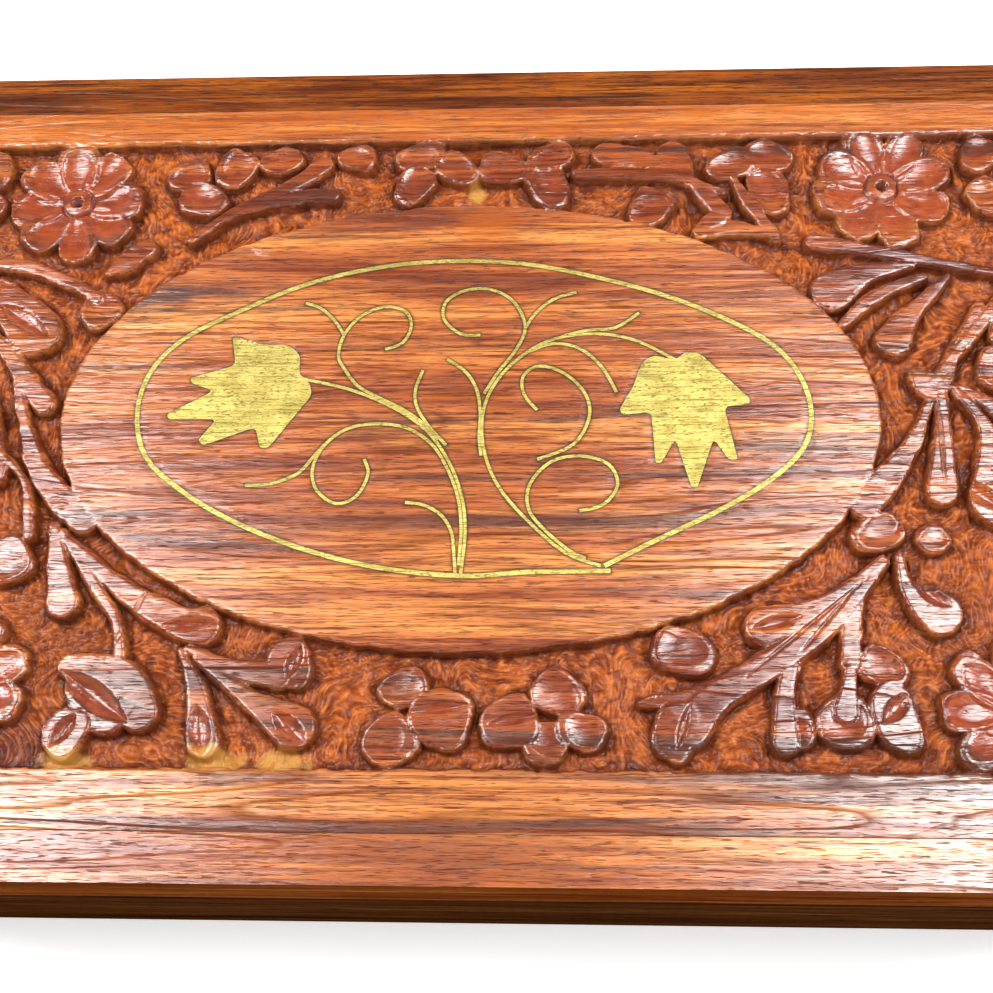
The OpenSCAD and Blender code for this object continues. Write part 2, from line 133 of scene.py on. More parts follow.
def make_studio():
    """Softboxes that glare on the front corners of the lid, and keys and a fill for its carving."""
    softbox("left_softbox", (-0.50, 0.13, 1.0), (0.46, 0.25), 20)
    softbox("right_softbox", (0.38, 0.13, 1.0), (0.54, 0.25), 20)
    softbox("left_key", (-0.42, 0.02, 0.36), (0.10, 0.10), 39)
    softbox("right_key", (0.44, 0.02, 0.36), (0.10, 0.10), 39)
    softbox("fill", (0.45, -0.75, 1.0), (0.5, 0.4), 3)
    world = bpy.data.worlds.new("studio")
    bpy.context.scene.world = world
    world.use_nodes = True
    background = world.node_tree.nodes["Background"]
    background.inputs["Color"].default_value = (1.0, 0.93, 0.84, 1)
    background.inputs["Strength"].default_value = 0.06
    bpy.context.scene.view_settings.view_transform = "Standard"


def make_floor():
    """A pale round floor that curves up into a backdrop."""
    bend = [math.radians(a) for a in range(0, 91, 10)]
    profile = [(0.001, 0.0), (FLOOR_INNER, 0.0)]
    profile += [(FLOOR_RADIUS + BEND_RADIUS * math.sin(a), BEND_RADIUS * (1 - math.cos(a))) for a in bend]
    profile.append((FLOOR_RADIUS + BEND_RADIUS, BACKDROP_HEIGHT))
    sides = FLOOR_SIDES
    turns = [2 * math.pi * i / sides for i in range(sides)]
    verts = [(r * math.cos(t), r * math.sin(t), z) for r, z in profile for t in turns]
    faces = [tuple(range(sides))]
    for row in range(0, sides * (len(profile) - 1), sides):
        for i in range(sides):
            after = (i + 1) % sides
            faces.append((row + sides + i, row + sides + after, row + after, row + i))
    mesh = bpy.data.meshes.new("floor")
    mesh.from_pydata(verts, [], faces)
    mesh.polygons.foreach_set("use_smooth", [True] * len(mesh.polygons))
    floor = bpy.data.objects.new("floor", mesh)
    bpy.context.scene.collection.objects.link(floor)
    material, shader = new_material("floor", (0.93, 0.93, 0.92), 0.9)
    shader.inputs["Specular IOR Level"].default_value = 0.0
    shader.inputs["Emission Color"].default_value = (1, 1, 1, 1)
    g = Graph(material)
    height = g.tree.nodes.new("ShaderNodeSeparateXYZ")
    g.link(g.position, height.inputs[0])
    g.link(g.ramp(height.outputs["Z"], (0.05, 0.5), (0.8, 0.28)), shader.inputs["Emission Strength"])
    mesh.materials.append(material)


# ---- node helpers -------------------------------------------------------------------------

def new_material(name, colour, roughness, metallic=0.0):
    material = bpy.data.materials.new(name)
    material.use_nodes = True
    shader = material.node_tree.nodes["Principled BSDF"]
    shader.inputs["Base Color"].default_value = (*colour, 1)
    shader.inputs["Roughness"].default_value = roughness
    shader.inputs["Metallic"].default_value = metallic
    return material, shader


class Graph:
    """Short calls for the nodes that the materials are made of."""

    def __init__(self, material, along_y=False):
        self.along_y = along_y
        self.tree = material.node_tree
        self.shader = self.tree.nodes["Principled BSDF"]
        self.coordinates = self.tree.nodes.new("ShaderNodeTexCoord")
        self.position = self.coordinates.outputs["Object"]

    def link(self, source, target):
        self.tree.links.new(source, target)

    def scaled(self, scale, offset=(0, 0, 0)):
        """Object coordinates times a scale for each axis, in features per metre."""
        node = self.tree.nodes.new("ShaderNodeMapping")
        node.inputs["Scale"].default_value = (scale[1], scale[0], scale[2]) if self.along_y else scale
        node.inputs["Location"].default_value = offset
        self.link(self.position, node.inputs["Vector"])
        return node.outputs["Vector"]

    def noise(self, scale, detail=3.0, distortion=0.0, offset=(0, 0, 0), roughness=0.5):
        node = self.tree.nodes.new("ShaderNodeTexNoise")
        node.inputs["Scale"].default_value = 1.0
        node.inputs["Detail"].default_value = detail
        node.inputs["Roughness"].default_value = roughness
        node.inputs["Distortion"].default_value = distortion
        self.link(self.scaled(scale, offset), node.inputs["Vector"])
        return node.outputs["Fac"]

    def ramp(self, value, *stops):
        """Colour stops of (place, colour); a number stands for that grey."""
        node = self.tree.nodes.new("ShaderNodeValToRGB")
        elements = node.color_ramp.elements
        while len(elements) < len(stops):
            elements.new(0.5)
        for element, (place, colour) in zip(elements, stops):
            element.position = place
            element.color = (*colour, 1) if isinstance(colour, tuple) else (colour, colour, colour, 1)
        self.link(value, node.inputs["Fac"])
        return node.outputs["Color"]

    def mix(self, amount, below, above, blend="MIX"):
        node = self.tree.nodes.new("ShaderNodeMix")
        node.data_type = "RGBA"
        node.blend_type = blend
        sockets = node.inputs["Factor"], node.inputs[6], node.inputs[7]
        for socket, value in zip(sockets, (amount, below, above)):
            if isinstance(value, (tuple, float)):
                socket.default_value = (*value, 1) if isinstance(value, tuple) else value
            else:
                self.link(value, socket)
        return node.outputs[2]

    def math(self, operation, a, b=0.0):
        node = self.tree.nodes.new("ShaderNodeMath")
        node.operation = operation
        for socket, value in zip(node.inputs, (a, b)):
            if isinstance(value, float):
                socket.default_value = value
            else:
                self.link(value, socket)
        return node.outputs["Value"]

    def normal_z(self):
        """How far a face looks up, from -1 to 1."""
        node = self.tree.nodes.new("ShaderNodeSeparateXYZ")
        self.link(self.coordinates.outputs["Normal"], node.inputs[0])
        return node.outputs["Z"]

    def attribute(self, name):
        node = self.tree.nodes.new("ShaderNodeAttribute")
        node.attribute_name = name
        return node.outputs["Fac"]

    def bump(self, height, distance, strength=1.0, under=None):
        node = self.tree.nodes.new("ShaderNodeBump")
        node.inputs["Distance"].default_value = distance
        node.inputs["Strength"].default_value = strength
        self.link(height, node.inputs["Height"])
        if under is not None:
            self.link(under, node.inputs["Normal"])
        return node.outputs["Normal"]


# ---- materials ----------------------------------------------------------------------------

def wood_material(name, light, middle, dark, streak, offset=(0, 0, 0), roughness=0.42, coat=0.9, carved=False,
                  along_y=False):
    """Varnished wood with its grain along X or Y: bands, growth lines, fibres, smoky streaks and pores."""
    material, shader = new_material(name, middle, roughness)
    g = Graph(material, along_y)
    bands = g.noise((9, 150, 150), 7, 0.5, offset, 0.68)
    colour = g.ramp(bands, (0.35, dark), (0.49, middle), (0.64, light))
    fibres = g.noise((45, 1500, 1500), 5, 0.2, offset, 0.7)
    colour = g.mix(g.ramp(fibres, (0.38, 0.9), (0.55, 0.0)), colour, dark)
    growth = g.math("FRACT", g.math("MULTIPLY", g.noise((5, 70, 70), 2, 0.3, offset), 15.0))
    line_zone = g.ramp(g.noise((9, 60, 60), 2, 0.0, offset), (0.40, 0.0), (0.58, 1.0))
    lines = g.math("MULTIPLY", g.ramp(growth, (0.0, 1.0), (0.14, 0.0), (0.92, 0.0), (1.0, 1.0)), line_zone)
    colour = g.mix(g.math("MULTIPLY", lines, 0.55), colour, tuple(v * 0.35 for v in dark))
    smoke = g.noise((8, 150, 150), 6, 0.9, tuple(v + 3.1 for v in offset), 0.6)
    colour = g.mix(g.ramp(smoke, (0.53, 0.0), (0.63, 0.85)), colour, streak)
    pores = g.noise((380, 6500, 6500), 1, 0.0, offset)
    pore_mask = g.ramp(pores, (0.33, 1.0), (0.40, 0.0))
    colour = g.mix(g.math("MULTIPLY", pore_mask, 0.7), colour, tuple(v * 0.25 for v in dark))
    relief = g.math("SUBTRACT", fibres, g.math("MAXIMUM", pore_mask, lines))
    normal = g.bump(relief, 0.00007, 0.9)
    ripple = g.noise((110, 800, 800), 3, 0.2, offset)
    normal = g.bump(ripple, 0.0002, 0.5, normal)
    rough = g.ramp(g.noise((60, 300, 300), 4), (0.3, roughness - 0.06), (0.7, roughness + 0.12))
    gloss = g.ramp(fibres, (0.36, coat * 0.5), (0.55, coat))
    coat_weight = g.mix(g.math("MAXIMUM", pore_mask, lines), gloss, (coat * 0.1,) * 3)
    # Painted shade: the upright faces are coloured darker than the top, and they carry less varnish than the
    # top.
    upright = g.ramp(g.math("ABSOLUTE", g.normal_z()), (0.3, 1.0), (0.7, 0.0))
    if carved:
        colour = carved_tones(g, colour)
        ground = g.attribute("cut")
        rough = g.mix(ground, rough, (0.5, 0.5, 0.5))
        coat_weight = g.mix(ground, coat_weight, (0.12, 0.12, 0.12))
    else:
        colour = g.mix(upright, colour, g.mix(1.0, colour, (0.36, 0.33, 0.32), "MULTIPLY"))
        coat_weight = g.mix(upright, coat_weight, (0.0, 0.0, 0.0))
        g.link(g.ramp(upright, (0.0, 0.12), (1.0, 0.0)), shader.inputs["Specular IOR Level"])
    g.link(colour, shader.inputs["Base Color"])
    g.link(rough, shader.inputs["Roughness"])
    g.link(coat_weight, shader.inputs["Coat Weight"])
    g.link(normal, shader.inputs["Normal"])
    g.link(normal, shader.inputs["Coat Normal"])
    shader.inputs["Coat Roughness"].default_value = 0.17
    shader.inputs["Coat IOR"].default_value = 1.9
    if carved:
        shader.inputs["Specular IOR Level"].default_value = 0.07
    return material


def carved_tones(g, colour):
    """Stain in the cut wood: scoops are redder and the ground is mottled; painted shade makes the hollows and
    the foot of the walls darkest, and a painted highlight lightens the crests of the ground.
    """
    mottle = g.noise((420, 620, 620), 5, 0.6)
    stain = g.ramp(mottle, (0.3, (0.11, 0.017, 0.003)), (0.5, (0.27, 0.052, 0.008)),
                   (0.72, (0.52, 0.130, 0.018)))
    scoop = g.ramp(mottle, (0.3, (0.20, 0.025, 0.006)), (0.7, (0.40, 0.07, 0.015)))
    stained = g.mix(1.0, colour, (0.68, 0.50, 0.42), "MULTIPLY")
    colour = g.mix(g.attribute("motif"), colour, stained)
    colour = g.mix(g.attribute("hollow"), colour, scoop)
    colour = g.mix(g.attribute("cut"), colour, stain)
    colour = g.mix(g.attribute("wine"), colour, (0.075, 0.012, 0.010))
    colour = g.mix(g.attribute("warm"), colour, (0.42, 0.09, 0.006))
    colour = g.mix(g.attribute("smoke"), colour, (0.055, 0.030, 0.028))
    # Painted highlight: the crests of the ground's gouge marks are coloured lighter.
    colour = g.mix(g.attribute("painted_ridge_highlight"), colour, (0.62, 0.19, 0.05))
    # Painted shade: the hollows and the foot of the walls are coloured near black.
    colour = g.mix(g.attribute("painted_cavity_shade"), colour, (0.06, 0.008, 0.003))
    colour = g.mix(g.attribute("shade"), colour, (0.035, 0.005, 0.002))
    colour = g.mix(g.attribute("bare"), colour, (0.50, 0.24, 0.05))
    return g.mix(g.attribute("seam"), colour, (0.035, 0.022, 0.006))


def brass_material(name, bright, dull, scratch_scale, roughness):
    """Sanded brass: fine scratches along X, dark specks and a soft tarnish."""
    material, shader = new_material(name, bright, roughness, metallic=1.0)
    g = Graph(material)
    scratches = g.noise(scratch_scale, 4, 0.0, (0, 0, 0), 0.7)
    tarnish = g.noise((260, 380, 380), 5, 0.5)
    grit = g.noise((1500, 4200, 4200), 2)
    colour = g.mix(g.ramp(tarnish, (0.40, 0.0), (0.66, 0.8)), bright, dull)
    colour = g.mix(g.ramp(scratches, (0.36, 0.8), (0.52, 0.0)), colour, tuple(v * 0.5 for v in dull))
    colour = g.mix(g.ramp(grit, (0.34, 0.85), (0.46, 0.0)), colour, tuple(v * 0.4 for v in dull))
    g.link(colour, shader.inputs["Base Color"])
    g.link(g.ramp(scratches, (0.3, roughness + 0.2), (0.7, roughness)), shader.inputs["Roughness"])
    g.link(g.bump(g.math("ADD", scratches, grit), 0.00004, 0.7), shader.inputs["Normal"])
    return material


def velvet_material():
    material, shader = new_material("velvet", (0.12, 0.004, 0.010), 0.85)
    g = Graph(material)
    pile = g.noise((2600, 2600, 2600), 2)
    brushed = g.noise((28, 40, 40), 3, 0.8)
    colour = g.ramp(brushed, (0.3, (0.10, 0.003, 0.008)), (0.7, (0.15, 0.006, 0.013)))
    colour = g.mix(g.ramp(pile, (0.35, 0.5), (0.6, 0.0)), colour, (0.03, 0.001, 0.002))
    g.link(colour, shader.inputs["Base Color"])
    g.link(g.bump(pile, 0.0003, 0.6), shader.inputs["Normal"])
    shader.inputs["Sheen Weight"].default_value = 0.8
    shader.inputs["Sheen Roughness"].default_value = 0.35
    shader.inputs["Sheen Tint"].default_value = (0.9, 0.25, 0.3, 1)
    return material


def felt_material():
    material, shader = new_material("felt", (0.03, 0.09, 0.05), 0.95)
    g = Graph(material)
    fibres = g.noise((1500, 1500, 1500), 4, 1.5)
    colour = g.ramp(fibres, (0.3, (0.012, 0.04, 0.022)), (0.7, (0.05, 0.13, 0.075)))
    g.link(colour, shader.inputs["Base Color"])
    g.link(g.bump(fibres, 0.0004, 0.7), shader.inputs["Normal"])
    return material


# ---- carving: distances -------------------------------------------------------------------

def value_noise(x, y, cell, seed):
    """Smooth noise from -1 to 1 with a cell size in mm for each axis."""
    random = np.random.RandomState(seed)
    u, v = x / cell[0] + 500.0, y / cell[1] + 500.0
    iu, iv = np.floor(u).astype(int), np.floor(v).astype(int)
    fu, fv = u - iu, v - iv
    fu, fv = fu * fu * (3 - 2 * fu), fv * fv * (3 - 2 * fv)
    iu, iv = iu - iu.min(), iv - iv.min()
    lattice = random.uniform(-1, 1, (iu.max() + 2, iv.max() + 2))
    near = lattice[iu, iv] * (1 - fu) + lattice[iu + 1, iv] * fu
    far = lattice[iu, iv + 1] * (1 - fu) + lattice[iu + 1, iv + 1] * fu
    return near * (1 - fv) + far * fv


def smoothstep(low, high, value):
    t = np.clip((value - low) / (high - low), 0, 1)
    return t * t * (3 - 2 * t)


def blurred(values, reach):
    """A box blur, twice, over a reach in mm."""
    width = max(int(reach / GRID_STEP), 1)
    for axis in (0, 1, 0, 1):
        padded = np.pad(values, [(width, width) if k == axis else (0, 0) for k in (0, 1)], mode="edge")
        total = np.cumsum(np.insert(padded, 0, 0, axis), axis)
        span = 2 * width + 1
        high = np.take(total, range(span, total.shape[axis]), axis)
        values = (high - np.take(total, range(0, total.shape[axis] - span), axis)) / span
    return values


def curve(points):
    """A smooth curve through rows of numbers."""
    p = np.array(points, float)
    n = len(p)
    rows = []
    for i in range(n - 1):
        a, b, c, d = p[max(i - 1, 0)], p[i], p[i + 1], p[min(i + 2, n - 1)]
        for t in np.arange(CURVE_STEPS) / CURVE_STEPS:
            rows.append(0.5 * (2 * b + (c - a) * t + (2 * a - 5 * b + 4 * c - d) * t * t
                               + (3 * b - a - 3 * c + d) * t ** 3))
    rows.append(p[-1])
    return np.array(rows)


class Carving:
    """The panel's height over a grid, and how far each point is from what stands up."""

    def __init__(self):
        low, high = PANEL_LOW[:2] + JOINT_LINE, PANEL_HIGH[:2] - JOINT_LINE
        counts = np.round((high - low) / GRID_STEP).astype(int) + 1
        self.xs = np.linspace(low[0], high[0], counts[0])
        self.ys = np.linspace(low[1], high[1], counts[1])
        self.x, self.y = np.meshgrid(self.xs, self.ys, indexing="ij")
        self.outside = np.full(self.x.shape, FAR)
        self.top = np.full(self.x.shape, NO_TOP)
        self.cut = np.zeros(self.x.shape)
        self.random = np.random.RandomState(SEED)

    def window(self, centre, reach):
        i = np.searchsorted(self.xs, (centre[0] - reach, centre[0] + reach))
        j = np.searchsorted(self.ys, (centre[1] - reach, centre[1] + reach))
        return slice(*i), slice(*j)

    def path_distance(self, rows):
        """Signed distance to a stroke whose rows are x, y and half width, in a window round it."""
        middle = (rows[:, :2].min(0) + rows[:, :2].max(0)) / 2
        reach = np.abs(rows[:, :2] - middle).max() + rows[:, 2].max() + 2.5
        part = self.window(middle, reach)
        x, y = self.x[part], self.y[part]
        best = np.full(x.shape, FAR)
        for a, b in zip(rows[:-1], rows[1:]):
            along = b[:2] - a[:2]
            length = max(float(along @ along), 1e-9)
            t = np.clip(((x - a[0]) * along[0] + (y - a[1]) * along[1]) / length, 0, 1)
            away = np.hypot(x - a[0] - t * along[0], y - a[1] - t * along[1])
            best = np.minimum(best, away - (a[2] + t * (b[2] - a[2])))
        return part, best

    def raise_shape(self, part, distance, height):
        """Adds a shape left standing, with its own top height."""
        inside = distance < 0
        old_top, old_out = self.top[part], self.outside[part]
        under = np.where(old_out < 0, old_top, NO_TOP)
        self.top[part] = np.where(inside, np.maximum(under, height), old_top)
        self.outside[part] = np.minimum(old_out, distance)

    def lean(self, part, centre, slope):
        """A small tilt of its own for each shape, as hand-cut tops have."""
        along_x, along_y = self.random.uniform(-slope, slope, 2)
        plane = along_x * (self.x[part] - centre[0]) + along_y * (self.y[part] - centre[1])
        return np.clip(plane, -0.3, 0.05)

    def stroke(self, *rows):
        """A stem or spoon-shaped leaf; each row is x, y and width."""
        smooth = curve([(x, y, w / 2) for x, y, w in rows])
        part, distance = self.path_distance(smooth)
        lean = self.lean(part, rows[-1][:2], 0.03)
        edge = np.clip(1 + distance / 0.35, 0, 1)
        self.raise_shape(part, distance, lean - CROWN * edge ** 2 - 0.1)

    def blob(self, x, y, length, width, angle=0, scoop=0.0, tilt=0.0, sink=0.0):
        """A rounded petal or bud, with an optional hollow and a tilt along its length."""
        reach = max(length, width) / 2 + 2.5
        part = self.window((x, y), reach)
        turn = math.radians(angle)
        dx, dy = self.x[part] - x, self.y[part] - y
        u = (dx * math.cos(turn) + dy * math.sin(turn)) / (length / 2)
        v = (-dx * math.sin(turn) + dy * math.cos(turn)) / (width / 2)
        v = v / (1 + 0.16 * u)
        radius = (np.abs(u) ** 2.6 + np.abs(v) ** 2.6) ** (1 / 2.6)
        distance = (radius - 1) * min(length, width) / 2
        height = -0.12 - sink - 0.2 * np.clip(1 + distance / 0.4, 0, 1) ** 2
        du, dv = self.random.uniform(-0.25, 0.25, 2)
        dish = np.clip(1 - ((u - du) / 0.95) ** 2 - ((v - dv) / 0.85) ** 2, 0, 1)
        height = height - scoop * dish ** 0.7 + self.lean(part, (x, y), 0.07) + tilt * u
        self.raise_shape(part, distance, height)

    def gouge(self, x0, y0, x1, y1, width, depth):
        """A lens-shaped scoop."""
        t = np.linspace(0, 1, 9)
        rows = np.stack([x0 + t * (x1 - x0), y0 + t * (y1 - y0), 0.05 + width / 2 * np.sin(math.pi * t)], 1)
        part, distance = self.path_distance(rows)
        inward = np.clip(-distance / (width / 2), 0, 1)
        self.cut[part] = np.maximum(self.cut[part], depth * (1 - (1 - inward) ** 2))

    def flower(self, x, y, radius, turn, seed):
        """Hollowed petals round a drilled boss, each turned and tilted a little differently."""
        random = np.random.RandomState(seed)
        for i in range(PETALS):
            angle = turn + i * 360 / PETALS + random.uniform(-4, 4)
            length = radius * random.uniform(0.78, 0.92)
            away = radius * random.uniform(0.96, 1.03) - length / 2
            across = radius * random.uniform(0.50, 0.60)
            heading = math.radians(angle)
            x0, y0 = x + away * math.cos(heading), y + away * math.sin(heading)
            scoop, tilt = random.uniform(0.5, 1.0), random.uniform(0.3, 0.7)
            self.blob(x0, y0, length, across, angle, scoop, tilt, 0.5)
        part = self.window((x, y), 4)
        rho = np.hypot(self.x[part] - x, self.y[part] - y)
        heart = self.top[part]
        heart = np.where(rho < 3.2, -1.9, heart)
        heart = np.where(rho < 2.7, -0.5 - 0.3 * (rho / 2.7) ** 2, heart)
        self.top[part] = np.where(rho < 1.05, -3.5, heart)
        self.outside[part] = np.minimum(self.outside[part], rho - 3.2)


# ---- carving: the design ------------------------------------------------------------------

def carve_flowers(c):
    for i, (x, y, radius, turn) in enumerate(((-75.5, 48.6, 12.5, 5), (74, 50, 12.5, 15),
                                              (-85, -43, 12, 20), (88, -47.5, 12, 0))):
        c.flower(x, y, radius, turn, SEED + i)


def carve_top_row(c):
    c.blob(-55, 54, 8, 6, 20, 0.5)
    c.blob(-46, 55.5, 8.5, 7, 60, 0.5)
    c.blob(-51.5, 48.8, 9, 7, 160, 0.8)
    c.blob(-37.5, 57, 8, 5, 20, 0.2)
    c.stroke((-53, 40, 1.2), (-46, 45.5, 2.0), (-36, 51, 2.6), (-29, 56, 3.2))
    c.stroke((-44, 46, 1.2), (-34, 49, 2.2), (-27, 49.5, 2.6))
    c.stroke((-68, 33, 1.2), (-64, 36, 4.2), (-61, 38.5, 3.4))
    c.blob(-23, 57.5, 7, 5, 0, 0.3)
    c.blob(-11, 57.6, 9, 5.5, 10, 0.4)
    c.blob(-4, 55, 8, 6, 150, 0.4)
    c.blob(-12, 51.3, 8.5, 6.5, 60, 0.5)
    c.blob(4.5, 55, 9, 6, 170, 0.4)
    c.blob(13.5, 57.3, 8.5, 5.5, 20, 0.3)
    c.blob(13, 51, 10, 7, 110, 0.5)
    c.stroke((18, 53.5, 1.6), (27, 53.4, 2.2), (36, 52.5, 1.6), (45, 49, 1.4))
    c.stroke((24, 57.5, 5), (30, 56.8, 3.6), (36, 53.5, 1.4))
    c.stroke((36, 57.5, 5.5), (37, 55.5, 4.6), (39.5, 50.5, 1.2))
    c.blob(31.3, 45.8, 8.5, 7.2, 60, 0.2)
    c.stroke((38, 53, 1.4), (41, 49.6, 2.6), (44.5, 44.6, 3.4), (42, 42.5, 3))
    c.blob(46.6, 55, 9, 6, 20, 0.3)
    c.blob(53.8, 56.8, 9, 6.5, 160, 0.5)
    c.blob(53.5, 49, 10, 7, 105, 0.5)
    c.stroke((47, 52, 1.2), (49.5, 47, 2.4), (54, 39.5, 2.0))
    c.stroke((41, 41, 3.6), (47, 41.5, 2.6), (54, 40, 1.2))
    c.blob(92, 56.5, 8, 6, 60, 0.4)
    c.blob(92.5, 47.5, 8, 6, 120, 0.4)
    c.blob(-92.5, 55.5, 9, 7, 100, 0.4)
    c.blob(-93, 47, 8, 6, 60, 0.4)


def carve_left_side(c):
    c.stroke((-97, 31, 1), (-88, 29, 6), (-80, 21.5, 9.5))
    c.blob(-68.5, 25.6, 7.5, 7, 50, 0.2)
    c.stroke((-96, 36, 1.4), (-84, 35, 2.4), (-74, 31, 2.0), (-69, 28, 2.2))
    c.stroke((-88, 22, 1), (-82, 14, 3.2), (-76.5, 7, 4))
    c.stroke((-90, 14, 1.2), (-86, 4, 3.6), (-84.5, -6, 6.4))
    c.stroke((-82, 12, 1), (-79, 2, 2.4), (-75, -7, 4), (-66.5, -15, 5.4))
    c.stroke((-84, -2, 1), (-78, -8, 1.6), (-76, -18, 1.8))
    c.blob(-79.5, -22.5, 9, 8, 30, 0.3)
    c.stroke((-96, 18, 1.2), (-93, 6, 3.6), (-94, -4, 6))
    c.stroke((-98, 0, 1.2), (-91, -10, 3.6), (-88.5, -19, 6.4))
    c.blob(-94, -26, 7, 7, 0, 0.4)
    c.blob(-94, 24, 7, 6, 40, 0.3)
    c.gouge(-87, 27, -77, 20, 4, 0.9)
    c.gouge(-86, 0, -84.5, -7, 2.6, 0.9)


def carve_right_side(c):
    c.stroke((61, 38.4, 3.4), (70, 36.6, 2.4), (82, 34, 1.8), (98, 30.5, 1.4))
    c.stroke((63.5, 28.5, 7.6), (69, 31.5, 4.2), (78, 33.5, 1.2))
    c.stroke((65, 21.5, 1.8), (71, 27, 2.4), (80, 31, 1.4))
    c.stroke((73.5, 18.5, 6.4), (76.5, 23, 3.6), (84, 31, 1.2))
    c.stroke((79.5, 10, 1.4), (86, 18, 2.0), (96, 30, 2.4))
    c.stroke((76.5, 12, 1.2), (79, 9.5, 5), (82, 9.5, 1.6))
    c.stroke((82, 10, 1.6), (84, 16, 2.2), (89, 25, 1.8))
    c.stroke((81, 9.5, 1.6), (80.5, 0, 3.0), (79.5, -10, 5.4))
    c.stroke((79.5, 8.5, 1.2), (76, 0, 2.4), (72, -6, 4), (66.5, -12.5, 5.4))
    c.stroke((83, 9, 1.2), (88, 1, 3), (88, -12, 8.4))
    c.stroke((84, 9.5, 1), (90, 5, 3.4), (95, 0, 6))
    c.blob(91.5, 12.5, 8, 8, 60, 0.3)
    c.blob(93, 20, 6, 5, 60, 0.3)
    c.blob(68, -17.6, 8.5, 6.4, 20, 0.5)
    c.blob(77.2, -18.6, 5.5, 5, 30, 0.3)
    c.blob(95, -14, 6.5, 9, 20, 0.3)
    c.blob(93, -28, 8, 7, 40, 0.4)
    c.gouge(75.5, -13, 71, -17.6, 1.4, 0.6)
    c.gouge(82, -8, 90, -14, 3.4, 0.8)


def carve_bottom_left(c):
    c.stroke((-71.5, -16.5, 1.6), (-70.5, -22, 3.4), (-68.4, -30, 5.2))
    c.stroke((-70, -17.5, 1.4), (-62.5, -28, 2.0), (-58.6, -34, 1.6), (-57.4, -43, 2.2))
    c.stroke((-68.5, -19, 1.2), (-58, -28, 3.6), (-48, -33.4, 5.4), (-44.5, -34, 6.2))
    c.gouge(-51, -34.2, -41.6, -33.2, 2.6, 1.0)
    c.blob(-60.2, -45.6, 13.5, 10.5, -38, 0.0)
    c.stroke((-66, -41, 4), (-58, -44, 9), (-53.6, -48.6, 6.6))
    c.gouge(-67.4, -41.6, -55, -50.6, 4.6, 1.6)
    c.blob(-65.4, -52, 7, 8.5, -28, 0.0)
    c.gouge(-67.6, -54.6, -63.8, -49, 2.8, 1.2)
    c.stroke((-47.5, -38.4, 1), (-44.4, -45, 3.0), (-42.6, -53.6, 5.2))
    c.gouge(-44, -47.5, -42.4, -56, 4.0, 0.9)
    c.stroke((-46.5, -38, 1), (-39, -41.2, 3.0), (-31, -42.6, 4.2))
    c.blob(-29.3, -40.2, 7.2, 8.2, 10, 0.0)
    c.gouge(-29.5, -43, -27.4, -37.2, 2.4, 0.9)
    c.stroke((-45, -39.5, 1), (-36, -46, 3), (-28, -51, 7.4))
    c.gouge(-31.5, -48.5, -25.5, -54, 3.4, 0.8)


def carve_bottom_middle(c):
    c.blob(-10.3, -44.4, 8.4, 6.2, 15, 0.3)
    c.blob(-4.2, -49.2, 10, 9.4, -15, 0.0)
    c.gouge(-9.8, -48.6, 0.4, -47.2, 2.0, 1.0)
    c.blob(-12.4, -53.2, 8.6, 8, 40, 0.3)
    c.blob(7, -50, 9.4, 8.6, 15, 0.0)
    c.gouge(3.4, -50.4, 12.4, -48.6, 2.2, 1.1)
    c.blob(15, -45.2, 8.8, 7.4, 150, 0.4)
    c.blob(13, -53.2, 7, 7.6, 100, 0.5)
    c.blob(18.6, -51.4, 6, 8, 80, 0.4)


def carve_bottom_right(c):
    c.stroke((68.6, -22, 1), (61, -28.6, 2.6), (54, -32.2, 4.6), (48.6, -33.8, 6.2))
    c.gouge(46.4, -34.4, 54.6, -32.2, 2.6, 1.0)
    c.stroke((69, -22.6, 1.2), (60, -32.5, 3.6), (50, -39.8, 4.6), (41, -45.2, 5), (36, -50.6, 6.6))
    c.stroke((28, -46.8, 0.8), (37, -45.2, 2.4), (45, -42.4, 3.2))
    c.blob(33.8, -51, 7, 9.4, -20, 0.0)
    c.gouge(36, -47, 33.8, -54.4, 1.4, 0.7)
    c.blob(35.6, -38.2, 10, 7.6, 160, 0.3)
    c.stroke((65.5, -24.6, 1), (63, -32, 2.8), (62.1, -40, 3.2))
    c.stroke((53.2, -38.4, 2.6), (51.4, -45, 2.8), (51, -53, 4.2))
    c.blob(52.6, -50.8, 6.2, 6, 0, 0.5)
    c.stroke((62, -40, 1.6), (61.6, -44, 2.6), (60.8, -48, 4))
    c.blob(60.6, -49.6, 8.8, 8.6, 20, 0.6)
    c.blob(68.6, -48.8, 7, 12, 14, 0.0)
    c.gouge(71, -45, 66.4, -50, 3.2, 0.8)
    c.blob(67.6, -40.8, 8, 6.4, 150, 0.4)
    c.stroke((71.4, -21.6, 1.4), (72.4, -27.6, 2.6), (77, -31.6, 7.6))
    c.gouge(73.4, -26.4, 79, -30.6, 3.0, 0.9)
    c.blob(93.5, -34, 7, 6, 60, 0.3)


def carve_lines(c):
    """Score lines between stems that run together."""
    for line in ((-52, -24, -60, -40), (66, -25.5, 45, -42.6), (64, -27, 54, -38.6), (80, 8, 80, -9)):
        c.gouge(*line, 0.5, 0.35)


def field_edges(c):
    """Signed distances outside the field's border and inside the island, with the knife's wobble."""
    wobble = 0.22 * value_noise(c.x, c.y, (2.3, 2.3), SEED + 20)
    wobble += 0.12 * value_noise(c.x, c.y, (0.9, 0.9), SEED + 21)
    inset = np.minimum(FIELD_X - np.abs(c.x), np.minimum(FIELD_BACK - c.y, c.y - FIELD_FRONT))
    u, v = (c.x - ISLAND_CENTRE[0]) / ISLAND_HALF[0], (c.y - ISLAND_CENTRE[1]) / ISLAND_HALF[1]
    radius = np.hypot(u, v)
    gradient = np.hypot(u / ISLAND_HALF[0], v / ISLAND_HALF[1]) / np.maximum(radius, 1e-6)
    island = (radius - 1) / np.maximum(gradient, 1e-6)
    return inset + wobble, island + wobble


